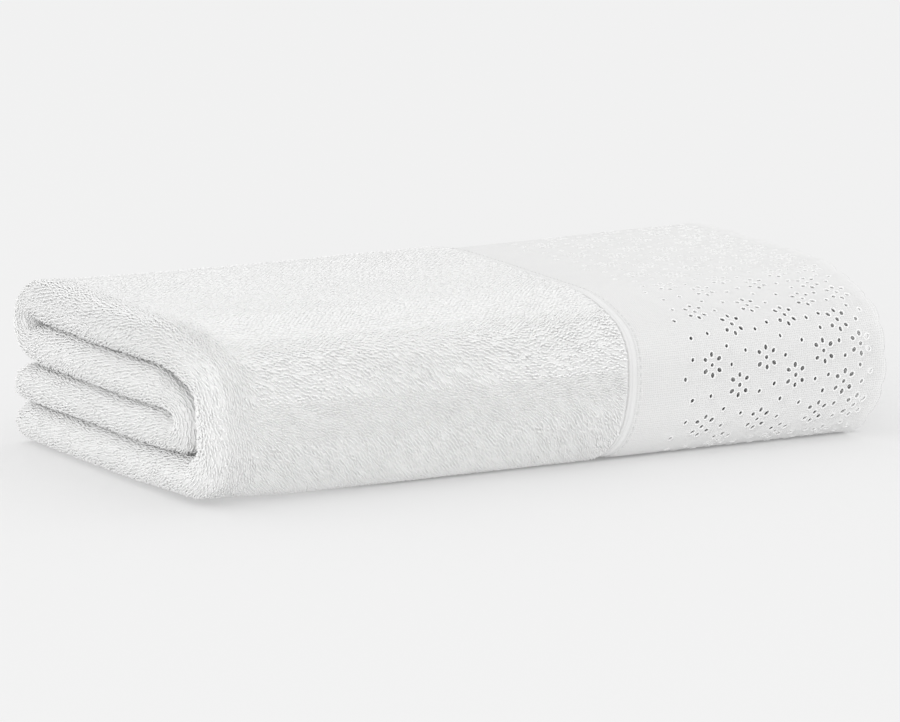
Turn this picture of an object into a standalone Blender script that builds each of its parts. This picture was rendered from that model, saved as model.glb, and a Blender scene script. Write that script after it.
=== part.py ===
"""Folded hand towel: white terry cloth, a woven eyelet border with a scalloped edge, and the rib on their seam.

The towel is described once, flat, and then folded twice:

1. crosswise in thirds: seen from the front, each band is a letter fold in a plane with the coordinates
   x (along the folded towel) and m (outward from the middle of the band);
2. lengthwise in half and in half again: seen from the end, the bands follow a path in the Y-Z plane.

X runs from the folded lips (-X) to the scalloped edge (+X). The front fold faces -Y and the towel rests on Z = 0.
"""

from math import pi, radians

import bpy
import numpy as np

MM = 0.001

# Folded towel, outside
FOLDED_LENGTH = 242 * MM
FOLDED_DEPTH = 132.5 * MM

# Cloth
TERRY_THICK = 4.0 * MM
LAYER_GAP = 0.4 * MM
BORDER_THICK = 1.2 * MM
BORDER_LENGTH = 94 * MM
SEAM_GAP = 0.3 * MM
EDGE_ROUNDING = 1.2 * MM
EDGE_THINNING = 0.55

# Rib on the seam
RIB_WIDTH = 3.4 * MM
RIB_THICK = 0.8 * MM
RIB_GAP = 0.4 * MM

# Scalloped edge
SCALLOP_COUNT = 54
SCALLOP_DEPTH = 1.3 * MM
POINTS_PER_SCALLOP = 4
SCALLOP_OFFSET = 0.77

# Letter fold, worked out from the cloth
LAYER_PITCH = TERRY_THICK + LAYER_GAP
BAND_THICK = 3 * TERRY_THICK + 2 * LAYER_GAP
LIP_RADIUS = BAND_THICK / 2
LIP_CENTRE = -FOLDED_LENGTH / 2 + LIP_RADIUS
SEAM_X = FOLDED_LENGTH / 2 - BORDER_LENGTH
FOLD_SETBACK = 9 * MM
FOLD_CENTRE = FOLDED_LENGTH / 2 - FOLD_SETBACK - (LAYER_PITCH + TERRY_THICK) / 2
FOLD_THINNING = 0.8
PLAIN_END_INSET = 2 * MM

# The border lies on the two layers under it, which are looser there than in the terry half
BORDER_RECESS = 1.4 * MM
BORDER_MIDDLE = BAND_THICK / 2 - BORDER_RECESS - BORDER_THICK / 2
LOOSE_TOP = BORDER_MIDDLE - BORDER_THICK / 2 - LAYER_GAP
LOOSENING = (LOOSE_TOP + BAND_THICK / 2) / (TERRY_THICK / 2 + BAND_THICK / 2) - 1
LOOSE_START = SEAM_X + 1 * MM
LOOSE_LENGTH = 14 * MM

# Stack of four bands
BAND_GAP = 0.4 * MM
BAND_PITCH = BAND_THICK + BAND_GAP
WALL_Y = -FOLDED_DEPTH / 2 + BAND_THICK / 2
BACK_Y = FOLDED_DEPTH / 2 - BAND_THICK / 2
FOOT_RADIUS = 12.5 * MM
SHOULDER = {"steep_turn": 65, "steep_radius": 9.7 * MM, "slope_turn": 25, "slope_radius": 63 * MM}
INNER_TILT = 22
INNER_TILT_RADIUS = SHOULDER["slope_radius"] - BAND_PITCH
INNER_SETBACK = 2.4 * MM
SELVEDGE_SETBACK = {"bottom": 3 * MM, "third": 5 * MM}

# Cloth is pressed thinner where a thick band folds flat on itself
BACK_SQUEEZE = 0.88
INNER_SQUEEZE = 0.70
SQUEEZE_RUN = 9 * MM

# Unevenness: soft and small; the run on the ground keeps straight edges, so that the towel lies flat. Heights
# within GROUND_TOLERANCE of the ground are set on it.
LIP_SHIFT = 0.5 * MM
END_SHIFT = 0.7 * MM
WAVER_START = 12 * MM
FRONT_LIP_DRAW = 2.2 * MM
FRONT_LIP_SPREAD = 26 * MM
BACK_LIP_DRAW = 1.0 * MM
FOOT_DRAW = {"amount": 6.5 * MM, "ease": 27 * MM}
SHOULDER_DRAW = {"amount": 3.0 * MM, "place": 18 * MM, "reach": 30 * MM}
TOP_SAG = 0.8 * MM
LIP_LIFT = {"back": 0.5 * MM, "front": 1.8 * MM, "start_y": 2 * MM, "run_y": 60 * MM}
LIP_FULLNESS = {"share_of_height": (0, 0.25, 0.5, 0.75, 1), "shift_mm": (0, -0.1, -1.0, -0.6, 0.8)}
LIP_REACH = 42 * MM
GROUND_TOLERANCE = 0.002 * MM
BORDER_SETTLE = {"start": SEAM_X + SEAM_GAP + RIB_WIDTH, "length": 6.5 * MM, "height": 42 * MM}


def smooth_step(t):
    """0 below 0, 1 above 1, and a cubic ease between."""
    t = np.clip(t, 0, 1)
    return t * t * (3 - 2 * t)


def shoulder_rise():
    """Height gained by the middle of a band over the front shoulder."""
    steep = np.sin(radians(SHOULDER["steep_turn"]))
    return SHOULDER["steep_radius"] * steep + SHOULDER["slope_radius"] * (1 - steep)


def shoulder_run():
    """Distance from the front wall to where the top lies flat, along Y."""
    steep = np.cos(radians(SHOULDER["steep_turn"]))
    return SHOULDER["steep_radius"] * (1 - steep) + SHOULDER["slope_radius"] * steep


def stack_rows():
    """Lengthwise folds as rows: kind, length or turn in degrees, radius, squeeze at the row's end, steps."""
    height = 3 * BAND_PITCH
    flat_start = WALL_Y + shoulder_run()
    back_radius = BAND_PITCH / 2
    tilt_drop = INNER_TILT_RADIUS * (1 - np.cos(radians(INNER_TILT)))
    inner_radius = (BAND_PITCH - tilt_drop) / (1 + np.cos(radians(INNER_TILT)))
    inner_front = WALL_Y + BAND_THICK / 2 + INNER_SETBACK
    inner_centre = inner_front + inner_radius + INNER_SQUEEZE * BAND_THICK / 2
    tilt_run = INNER_TILT_RADIUS * np.sin(radians(INNER_TILT))
    tilt_start = inner_centre - inner_radius * np.sin(radians(INNER_TILT)) + tilt_run
    turn_y = BACK_Y - back_radius + BAND_THICK / 2 * (1 - BACK_SQUEEZE)
    return [
        ("run", FOLDED_DEPTH / 2 - SELVEDGE_SETBACK["bottom"] - WALL_Y - FOOT_RADIUS, 0, 1.0, 4),
        ("turn", -90, FOOT_RADIUS, 1.0, 6),
        ("run", height - FOOT_RADIUS - shoulder_rise(), 0, 1.0, 2),
        ("turn", -SHOULDER["steep_turn"], SHOULDER["steep_radius"], 1.0, 4),
        ("turn", -SHOULDER["slope_turn"], SHOULDER["slope_radius"], 1.0, 4),
        ("run", turn_y - flat_start - SQUEEZE_RUN, 0, 1.0, 4),
        ("run", SQUEEZE_RUN, 0, BACK_SQUEEZE, 1),
        ("turn", -180, back_radius, BACK_SQUEEZE, 10),
        ("run", SQUEEZE_RUN, 0, 1.0, 1),
        ("run", turn_y - SQUEEZE_RUN - tilt_start, 0, 1.0, 4),
        ("turn", INNER_TILT, INNER_TILT_RADIUS, INNER_SQUEEZE, 4),
        ("turn", 180 - INNER_TILT, inner_radius, INNER_SQUEEZE, 9),
        ("run", SQUEEZE_RUN, 0, 1.0, 1),
        ("run", FOLDED_DEPTH / 2 - SELVEDGE_SETBACK["third"] - inner_centre - SQUEEZE_RUN, 0, 1.0, 4),
    ]


class FoldPath:
    """A flat path made of straight runs and round turns, read by the distance along it."""

    def __init__(self, rows, start, heading):
        self.rows = rows
        self.marks = [0.0]
        self.starts = []
        point, squeeze = np.array(start, float), rows[0][3]
        for kind, amount, radius, end_squeeze, _ in rows:
            bend = 0.0 if kind == "run" else np.sign(amount) / radius
            length = amount if kind == "run" else abs(radians(amount)) * radius
            self.starts.append((point, heading, bend, squeeze, end_squeeze))
            self.marks.append(self.marks[-1] + length)
            point = point + self.step(heading, bend, np.array([length]))[0]
            heading, squeeze = heading + bend * length, end_squeeze
        self.length = self.marks[-1]

    @staticmethod
    def step(heading, bend, distance):
        """Move along a run or an arc: integral of the heading's direction over the distance."""
        if bend == 0:
            return distance[:, None] * np.array([np.cos(heading), np.sin(heading)])
        turned = heading + bend * distance
        return np.stack([np.sin(turned) - np.sin(heading), np.cos(heading) - np.cos(turned)], -1) / bend

    def stations(self):
        """Distances at which the rows are divided into their steps."""
        parts = [np.linspace(a, b, row[4], endpoint=False)
                 for a, b, row in zip(self.marks, self.marks[1:], self.rows)]
        return np.append(np.concatenate(parts), self.length)

    def at(self, distance):
        """Point, normal on the left-hand side of travel, and squeeze at each distance."""
        distance = np.asarray(distance, float)
        row = np.clip(np.searchsorted(self.marks, distance, side="right") - 1, 0, len(self.rows) - 1)
        point = np.zeros(distance.shape + (2,))
        normal = np.zeros(distance.shape + (2,))
        squeeze = np.zeros(distance.shape)
        for index, (origin, heading, bend, first, last) in enumerate(self.starts):
            here = row == index
            along = distance[here] - self.marks[index]
            turned = heading + bend * along
            point[here] = origin + self.step(heading, bend, along)
            normal[here] = np.stack([-np.sin(turned), np.cos(turned)], -1)
            share = smooth_step(along / (self.marks[index + 1] - self.marks[index]))
            squeeze[here] = first + (last - first) * share
        return point, normal, squeeze


# Path of the bands, seen from the end: it starts at the bottom selvedge, at the back, and heads to the front
STACK = FoldPath(stack_rows(), (FOLDED_DEPTH / 2 - SELVEDGE_SETBACK["bottom"], BAND_THICK / 2), pi)
TOWEL_WIDTH = STACK.length
FOOT, WALL, SHOULDER_START = STACK.marks[1:4]


def letter_rows():
    """Crosswise folds as rows, in the columns of stack_rows; squeeze is the share of the thickness left."""
    third = LAYER_PITCH / 2
    return [
        ("run", SEAM_X - LIP_CENTRE, 0, 1.0, 4),
        ("turn", 180, LAYER_PITCH, 1.0, 8),
        ("run", LOOSE_START - LIP_CENTRE, 0, 1.0, 3),
        ("run", LOOSE_LENGTH, 0, 1.0, 4),
        ("run", FOLD_CENTRE - LOOSE_START - LOOSE_LENGTH, 0, FOLD_THINNING, 2),
        ("turn", 180, third, FOLD_THINNING, 6),
        ("run", FOLD_CENTRE - LOOSE_START - LOOSE_LENGTH, 0, 1.0, 2),
        ("run", LOOSE_LENGTH, 0, 1.0, 4),
        ("run", LOOSE_START - LIP_CENTRE - PLAIN_END_INSET, 0, 1.0, 3),
    ]


# Path of one layer in a band: it starts at the seam, on the outer side, and heads to the lips
LETTER = FoldPath(letter_rows(), (SEAM_X, LAYER_PITCH), pi)


def end_draw(x, w):
    """How far the end is drawn in: evenly more towards the foot, less up the wall, more at the shoulder."""
    right = smooth_step(0.5 + x / FOLDED_LENGTH)
    low = np.where(w < FOOT, w / FOOT, 1 - smooth_step((w - FOOT) / FOOT_DRAW["ease"]))
    past_seam = smooth_step((x - SEAM_X) / BORDER_LENGTH)
    high = smooth_step(1 - np.abs(w - SHOULDER_START - SHOULDER_DRAW["place"]) / SHOULDER_DRAW["reach"])
    return FOOT_DRAW["amount"] * right * low + SHOULDER_DRAW["amount"] * past_seam * high


def settle(x, y, z, w):
    """Soft unevenness of the folded towel, as small shifts of each point."""
    left = smooth_step(0.5 - x / FOLDED_LENGTH)
    right = smooth_step(0.5 + x / FOLDED_LENGTH)
    off_ground = smooth_step((w - FOOT) / WAVER_START)
    turn = 2 * pi * w / TOWEL_WIDTH
    shift = LIP_SHIFT * left * off_ground * (np.sin(3 * turn + 3.7) + 0.5 * np.sin(7 * turn + 5.1))
    shift += END_SHIFT * right * off_ground * (np.sin(2 * turn + 2.4) + 0.4 * np.sin(5 * turn))
    front = np.exp(-((np.maximum(w, FOOT) - WALL) / FRONT_LIP_SPREAD) ** 2) * np.minimum(w / FOOT, 1)
    bottom_back = np.clip(1 - w / FOOT, 0, 1)
    shift += smooth_step(-2 * x / FOLDED_LENGTH) * (FRONT_LIP_DRAW * front + BACK_LIP_DRAW * bottom_back)
    shift -= end_draw(x, w)
    share = z / (4 * BAND_THICK + 3 * BAND_GAP)
    near_lips = smooth_step(1 - (x + FOLDED_LENGTH / 2) / LIP_REACH)
    back = smooth_step(0.5 + y / FOLDED_DEPTH)
    rise = -TOP_SAG * np.cos(pi * (x / FOLDED_LENGTH - 0.06)) * share ** 2
    rise += near_lips * back * MM * np.interp(share, LIP_FULLNESS["share_of_height"], LIP_FULLNESS["shift_mm"])
    forward = smooth_step((LIP_LIFT["start_y"] - y) / LIP_LIFT["run_y"])
    lift = LIP_LIFT["back"] + (LIP_LIFT["front"] - LIP_LIFT["back"]) * forward
    rise += lift * near_lips * np.clip(1 - share, 0, 1)
    drop = smooth_step((x - BORDER_SETTLE["start"]) / BORDER_SETTLE["length"])
    drop = drop * BORDER_RECESS * np.clip(1 - z / BORDER_SETTLE["height"], 0, 1)
    z = z + rise - drop / (1 - BORDER_RECESS / BORDER_SETTLE["height"])
    return x + shift, y, np.where(np.abs(z) < GROUND_TOLERANCE, 0, z)


def fold_lengthwise(x, m, w):
    """Place points given in a band (x along, m outward) at the distance w along the stack's path."""
    point, normal, squeeze = STACK.at(w)
    outward = m * squeeze
    return settle(x, point[..., 0] + outward * normal[..., 0], point[..., 1] + outward * normal[..., 1], w)


def terry_point(s, w, side, thinning):
    """Terry at distance s from the seam, on its outer (+1) or inner (-1) face."""
    point, normal, squeeze = LETTER.at(s)
    height = -side * TERRY_THICK / 2 * squeeze * thinning
    x = point[..., 0] + height * normal[..., 0]
    m = point[..., 1] + height * normal[..., 1]
    loose = smooth_step((x - LOOSE_START) / LOOSE_LENGTH)
    m = m + loose * LOOSENING * (m + BAND_THICK / 2)
    return fold_lengthwise(x, m, w)


def border_lengths():
    """Distances along the border itself, and the places w along the stack's path where they are reached."""
    w = np.linspace(0, TOWEL_WIDTH, 2001)
    point, normal, squeeze = STACK.at(w)
    line = point + (BORDER_MIDDLE * squeeze)[:, None] * normal
    return np.append(0, np.cumsum(np.linalg.norm(np.diff(line, axis=0), axis=1))), w


BORDER_LENGTHS, BORDER_PLACES = border_lengths()
SCALLOP_PITCH = BORDER_LENGTHS[-1] / SCALLOP_COUNT


def scallop_edge(w):
    """How far the border reaches past its shortest place: round bumps of one width, one after another."""
    phase = (np.interp(w, BORDER_PLACES, BORDER_LENGTHS) / SCALLOP_PITCH + SCALLOP_OFFSET) % 1
    return SCALLOP_DEPTH * np.sqrt(1 - (2 * phase - 1) ** 2)


def border_point(s, w, side, thinning):
    """Border at distance s from the seam; the last row follows the scallops."""
    reach = FOLDED_LENGTH / 2 - SCALLOP_DEPTH - SEAM_X
    x = SEAM_X + s + np.where(s >= reach - 1e-9, scallop_edge(w), 0)
    m = BORDER_MIDDLE + side * BORDER_THICK / 2 * thinning
    return fold_lengthwise(x, m, w)


def rib_point(s, w, side, thinning):
    """Rib on the outer face of the border, next to the terry."""
    middle = BORDER_MIDDLE + BORDER_THICK / 2 + RIB_GAP + RIB_THICK / 2
    m = middle + side * RIB_THICK / 2 * thinning
    return fold_lengthwise(SEAM_X + s, m, w)


def with_edges(stations):
    """Add a station close to each end, where the rounded edge reaches full thickness."""
    inner = [stations[0] + EDGE_ROUNDING, stations[-1] - EDGE_ROUNDING]
    keep = (stations > inner[0] + EDGE_ROUNDING / 2) & (stations < inner[1] - EDGE_ROUNDING / 2)
    return np.concatenate([stations[:1], inner[:1], stations[keep], inner[1:], stations[-1:]])


def edge_profile(stations):
    """Share of the thickness at each station: thinner at the first and last."""
    share = np.ones(len(stations))
    share[[0, -1]] = EDGE_THINNING
    return share


def sheet_mesh(name, along, across, place):
    """A closed sheet: an outer and an inner grid of points, joined round their edges."""
    s, w = np.meshgrid(along, across, indexing="ij")
    thinning = np.minimum.outer(edge_profile(along), edge_profile(across))
    layers = [np.stack(place(s, w, side, thinning), -1).reshape(-1, 3) for side in (1, -1)]
    rows, columns = s.shape
    index = np.arange(rows * columns).reshape(rows, columns)
    quads = np.stack([index[:-1, :-1], index[:-1, 1:], index[1:, 1:], index[1:, :-1]], -1).reshape(-1, 4)
    count = rows * columns
    ring = np.concatenate([index[:-1, 0], index[-1, :-1], index[:0:-1, -1], index[0, :0:-1]])
    ahead = np.roll(ring, -1)
    walls = np.stack([ring, ahead, ahead + count, ring + count], -1)
    faces = np.concatenate([quads, quads[:, ::-1] + count, walls])
    mesh = bpy.data.meshes.new(name)
    mesh.from_pydata(np.concatenate(layers).tolist(), [], faces.tolist())
    mesh.validate()
    return mesh


def cloth_material(name, colour, roughness):
    """Plain cotton: a Principled surface without metal."""
    material = bpy.data.materials.new(name)
    material.use_nodes = True
    shader = material.node_tree.nodes["Principled BSDF"]
    shader.inputs["Base Color"].default_value = (*colour, 1)
    shader.inputs["Roughness"].default_value = roughness
    shader.inputs["Metallic"].default_value = 0
    return material


def add_node(mesh, material):
    """Put a mesh in the scene as one named, smooth-shaded object."""
    mesh.materials.append(material)
    mesh.shade_smooth()
    node = bpy.data.objects.new(mesh.name, mesh)
    bpy.context.scene.collection.objects.link(node)
    return node


def border_stations():
    """Rows of the border, from the scallops back to the seam."""
    reach = FOLDED_LENGTH / 2 - SCALLOP_DEPTH - SEAM_X
    loose = LOOSE_START + LOOSE_LENGTH - SEAM_X
    settling = BORDER_SETTLE["start"] + BORDER_SETTLE["length"] * np.array([1, 0.5, 0]) - SEAM_X
    return np.array([reach, reach - 2 * MM, loose, *settling, SEAM_GAP + EDGE_ROUNDING, SEAM_GAP])


def scallop_stations():
    """Columns of the border: even along the scallops, and the path's own steps in the innermost turn."""
    even = np.linspace(0, BORDER_LENGTHS[-1], SCALLOP_COUNT * POINTS_PER_SCALLOP + 1)
    even = np.interp(even, BORDER_LENGTHS, BORDER_PLACES)
    first, last = STACK.marks[11:13]
    steps = STACK.stations()
    steps = steps[(steps >= first) & (steps <= last)]
    return np.sort(np.append(even[(even < first - EDGE_ROUNDING) | (even > last + EDGE_ROUNDING)], steps))


def rib_stations():
    """Rows of the rib, towards the seam."""
    return SEAM_GAP + RIB_WIDTH * np.array([1, 0.75, 0.25, 0])


def build():
    for item in list(bpy.data.objects):
        bpy.data.objects.remove(item, do_unlink=True)
    width = with_edges(STACK.stations())
    terry = sheet_mesh("terry_body", with_edges(LETTER.stations()), width, terry_point)
    add_node(terry, cloth_material("white_terry", (0.86, 0.86, 0.855), 0.95))
    border = sheet_mesh("lace_border", border_stations(), scallop_stations(), border_point)
    add_node(border, cloth_material("white_woven_cotton", (0.88, 0.88, 0.875), 0.85))
    rib = sheet_mesh("seam_rib", rib_stations(), width, rib_point)
    add_node(rib, cloth_material("white_tape", (0.87, 0.87, 0.865), 0.9))


build()
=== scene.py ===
import bpy
import numpy as np
from mathutils.geometry import delaunay_2d_cdt
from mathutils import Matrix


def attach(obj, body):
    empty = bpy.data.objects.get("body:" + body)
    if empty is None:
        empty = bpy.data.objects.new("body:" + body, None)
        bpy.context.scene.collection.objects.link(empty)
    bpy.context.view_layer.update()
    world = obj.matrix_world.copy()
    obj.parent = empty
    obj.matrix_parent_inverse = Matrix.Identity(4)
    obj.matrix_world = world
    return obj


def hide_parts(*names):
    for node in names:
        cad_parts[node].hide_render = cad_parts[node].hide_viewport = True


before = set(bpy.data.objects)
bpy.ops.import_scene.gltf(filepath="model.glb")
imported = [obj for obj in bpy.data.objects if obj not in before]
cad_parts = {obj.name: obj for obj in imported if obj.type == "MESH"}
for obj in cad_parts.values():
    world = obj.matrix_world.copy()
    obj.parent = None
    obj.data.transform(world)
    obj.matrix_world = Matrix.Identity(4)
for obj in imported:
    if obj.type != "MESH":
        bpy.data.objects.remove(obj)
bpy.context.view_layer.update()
MM = 0.001

# ---- Terry cloth -------------------------------------------------------------------------------------
# One length of cotton woven with loops on both faces, folded crosswise in thirds and then twice lengthwise.
# A point of the cloth is named by s, its distance from the seam along the towel, w, its place across the
# towel's width, and h, its height above the middle of the cloth on the outer face.

FOLDED_LENGTH = 242 * MM
FOLDED_DEPTH = 132.5 * MM
TERRY_THICK = 4.0 * MM
LAYER_GAP = 0.4 * MM
BORDER_THICK = 1.2 * MM
BORDER_LENGTH = 94 * MM
LAYER_PITCH = TERRY_THICK + LAYER_GAP
BAND_THICK = 3 * TERRY_THICK + 2 * LAYER_GAP
LIP_CENTRE = (BAND_THICK - FOLDED_LENGTH) / 2
SEAM_X = FOLDED_LENGTH / 2 - BORDER_LENGTH
FOLD_INSET = 3.5 * MM
FOLD_CENTRE = FOLDED_LENGTH / 2 - FOLD_INSET - (LAYER_PITCH + TERRY_THICK) / 2
FOLD_THINNING = 0.8
PLAIN_END_INSET = 2 * MM
BORDER_RECESS = 1.4 * MM
BORDER_MIDDLE = BAND_THICK / 2 - BORDER_RECESS - BORDER_THICK / 2
LOOSE_TOP = BORDER_MIDDLE - BORDER_THICK / 2 - LAYER_GAP
LOOSENING = (LOOSE_TOP + BAND_THICK / 2) / (TERRY_THICK / 2 + BAND_THICK / 2) - 1
LOOSE_START = SEAM_X + 1 * MM
LOOSE_LENGTH = 14 * MM
BAND_GAP = 0.4 * MM
BAND_PITCH = BAND_THICK + BAND_GAP
WALL_Y = (BAND_THICK - FOLDED_DEPTH) / 2
BACK_Y = (FOLDED_DEPTH - BAND_THICK) / 2
FOOT_RADIUS = 12.5 * MM
STEEP = {"turn": 65, "radius": 9.7 * MM}
SLOPE = {"turn": 25, "radius": 63 * MM}
INNER_TILT = 22
INNER_TILT_RADIUS = SLOPE["radius"] - BAND_PITCH
INNER_SETBACK = 1.2 * MM
BOTTOM_SETBACK, THIRD_SETBACK = 3 * MM, 5 * MM
BACK_SQUEEZE, INNER_SQUEEZE, SQUEEZE_RUN = 0.88, 0.70, 9 * MM


def ease(t):
    """0 below 0, 1 above 1, and the cubic 3t^2 - 2t^3 between."""
    t = np.clip(t, 0, 1)
    return t * t * (3 - 2 * t)


class FoldPath:
    """Straight runs and round turns, one after another, read by the distance along them. Rows are (run or turn,
    length or degrees, radius, squeeze at the end); squeeze is the share of its thickness that the cloth keeps."""

    def __init__(self, rows, start, heading):
        self.marks, self.starts = [0.0], []
        point, squeeze = np.array(start, float), rows[0][3]
        for kind, amount, radius, end_squeeze in rows:
            bend = 0.0 if kind == "run" else np.sign(amount) / radius
            length = amount if kind == "run" else abs(np.radians(amount)) * radius
            self.starts.append((point, heading, bend, squeeze, end_squeeze))
            self.marks.append(self.marks[-1] + length)
            point = point + self.step(heading, bend, np.array([length]))[0]
            heading, squeeze = heading + bend * length, end_squeeze
        self.length = self.marks[-1]

    @staticmethod
    def step(heading, bend, distance):
        """Integral of the heading's direction over the distance."""
        if bend == 0:
            return distance[:, None] * np.array([np.cos(heading), np.sin(heading)])
        turned = heading + bend * distance
        return np.stack([np.sin(turned) - np.sin(heading), np.cos(heading) - np.cos(turned)], -1) / bend

    def at(self, distance):
        """Point, normal on the left of travel, and squeeze at each distance; the ends run on straight."""
        distance = np.asarray(distance, float)
        row = np.clip(np.searchsorted(self.marks, distance, side="right") - 1, 0, len(self.starts) - 1)
        point, normal = np.zeros(distance.shape + (2,)), np.zeros(distance.shape + (2,))
        squeeze = np.zeros(distance.shape)
        for index, (origin, heading, bend, first, last) in enumerate(self.starts):
            here = row == index
            along = distance[here] - self.marks[index]
            turned = heading + bend * along
            point[here] = origin + self.step(heading, bend, along)
            normal[here] = np.stack([-np.sin(turned), np.cos(turned)], -1)
            squeeze[here] = first + (last - first) * ease(along / (self.marks[index + 1] - self.marks[index]))
        return point, normal, squeeze

    def stations(self, longest_run, widest_turn):
        """Distances that cut every run and every turn into equal steps no longer or wider than these."""
        parts = []
        for a, b, (_, _, bend, _, _) in zip(self.marks, self.marks[1:], self.starts):
            steps = (b - a) * max(1 / longest_run, abs(bend) / np.radians(widest_turn))
            parts.append(np.linspace(a, b, int(np.ceil(steps)) + 1)[:-1])
        return np.append(np.concatenate(parts), self.length)


def stack_rows():
    """Bands seen from the end, from the bottom selvedge at the back to the front, over the top and in again."""
    steep, slope = np.radians(STEEP["turn"]), np.radians(INNER_TILT)
    rise = STEEP["radius"] * np.sin(steep) + SLOPE["radius"] * (1 - np.sin(steep))
    flat_start = WALL_Y + STEEP["radius"] * (1 - np.cos(steep)) + SLOPE["radius"] * np.cos(steep)
    back_radius = BAND_PITCH / 2
    inner_radius = (BAND_PITCH - INNER_TILT_RADIUS * (1 - np.cos(slope))) / (1 + np.cos(slope))
    inner_centre = WALL_Y + BAND_THICK / 2 * (1 + INNER_SQUEEZE) + INNER_SETBACK + inner_radius
    tilt_start = inner_centre + (INNER_TILT_RADIUS - inner_radius) * np.sin(slope)
    turn_y = BACK_Y - back_radius + BAND_THICK / 2 * (1 - BACK_SQUEEZE)
    return [
        ("run", FOLDED_DEPTH / 2 - BOTTOM_SETBACK - WALL_Y - FOOT_RADIUS, 0, 1.0),
        ("turn", -90, FOOT_RADIUS, 1.0),
        ("run", 3 * BAND_PITCH - FOOT_RADIUS - rise, 0, 1.0),
        ("turn", -STEEP["turn"], STEEP["radius"], 1.0),
        ("turn", -SLOPE["turn"], SLOPE["radius"], 1.0),
        ("run", turn_y - flat_start - SQUEEZE_RUN, 0, 1.0),
        ("run", SQUEEZE_RUN, 0, BACK_SQUEEZE),
        ("turn", -180, back_radius, BACK_SQUEEZE),
        ("run", SQUEEZE_RUN, 0, 1.0),
        ("run", turn_y - SQUEEZE_RUN - tilt_start, 0, 1.0),
        ("turn", INNER_TILT, INNER_TILT_RADIUS, INNER_SQUEEZE),
        ("turn", 180 - INNER_TILT, inner_radius, INNER_SQUEEZE),
        ("run", SQUEEZE_RUN, 0, 1.0),
        ("run", FOLDED_DEPTH / 2 - THIRD_SETBACK - inner_centre - SQUEEZE_RUN, 0, 1.0),
    ]


STACK = FoldPath(stack_rows(), (FOLDED_DEPTH / 2 - BOTTOM_SETBACK, BAND_THICK / 2), np.pi)
TOWEL_WIDTH = STACK.length
FOOT, WALL, SHOULDER, TOP_SLOPE, TOP_FLAT = STACK.marks[1:6]
BACK_END = STACK.marks[8]
INNER_TURN_END = STACK.marks[12]

# One layer in a band, seen from the front: over the top to the lips, under, back to the right fold and in
# again.
LOOSE_RUN = FOLD_CENTRE - LOOSE_START - LOOSE_LENGTH
LETTER = FoldPath(
    [
        ("run", SEAM_X - LIP_CENTRE, 0, 1.0),
        ("turn", 180, LAYER_PITCH, 1.0),
        ("run", LOOSE_START - LIP_CENTRE, 0, 1.0),
        ("run", LOOSE_LENGTH, 0, 1.0),
        ("run", LOOSE_RUN, 0, FOLD_THINNING),
        ("turn", 180, LAYER_PITCH / 2, FOLD_THINNING),
        ("run", LOOSE_RUN, 0, 1.0),
        ("run", LOOSE_LENGTH, 0, 1.0),
        ("run", LOOSE_START - LIP_CENTRE - PLAIN_END_INSET, 0, 1.0),
    ],
    (SEAM_X, LAYER_PITCH),
    np.pi,
)
LIP, LIP_END = LETTER.marks[1:3]
RIGHT_FOLD, RIGHT_FOLD_END, UNDER_BORDER_END = LETTER.marks[5:8]

STACK_HEIGHT = 4 * BAND_THICK + 3 * BAND_GAP
FOOT_DRAW = {"amount": 6.5 * MM, "ease": 27 * MM}
SHOULDER_DRAW = {"amount": 3.0 * MM, "place": 18 * MM, "reach": 30 * MM}
LIP_WANDER, END_WANDER, WANDER_RISE = 0.5 * MM, 0.7 * MM, 12 * MM
LIP_DRAW = {"front": 2.2 * MM, "back": 1.0 * MM, "ease": 26 * MM}
TOP_SAG, SAG_PLACE = 0.8 * MM, 0.06
LIP_REACH = 42 * MM
LIP_FULLNESS = {"height_share": (0, 0.25, 0.5, 0.75, 1), "rise_mm": (0, -0.1, -1.0, -0.6, 0.8)}
LIP_LIFT = {"back": 0.5 * MM, "front": 1.8 * MM, "start_y": 2 * MM, "run_y": 60 * MM}
BORDER_SETTLE = {"start": SEAM_X + 0.5 * MM, "length": 6.5 * MM, "height": 42 * MM}
FLOOR_CLEARANCE = 0.03 * MM
HOLLOW_FILL = {"wall": 1.0 * MM, "turn": 1.7 * MM, "turn_before": 3 * MM, "width": 6 * MM}


def bell(distance, width):
    """1 in the middle, falling off on both sides as exp(-(distance / width)^2)."""
    return np.exp(-((distance / width) ** 2))


def end_draw(x, w):
    """Distance the border's end is drawn in: amount w / FOOT on the floor run, easing out up the wall, and an
    eased bump of the shoulder past the seam."""
    right = ease(0.5 + x / FOLDED_LENGTH)
    low = np.where(w < FOOT, w / FOOT, 1 - ease((w - FOOT) / FOOT_DRAW["ease"]))
    high = ease((x - SEAM_X) / BORDER_LENGTH)
    high = high * ease(1 - np.abs(w - SHOULDER - SHOULDER_DRAW["place"]) / SHOULDER_DRAW["reach"])
    return FOOT_DRAW["amount"] * right * low + SHOULDER_DRAW["amount"] * high


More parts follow.
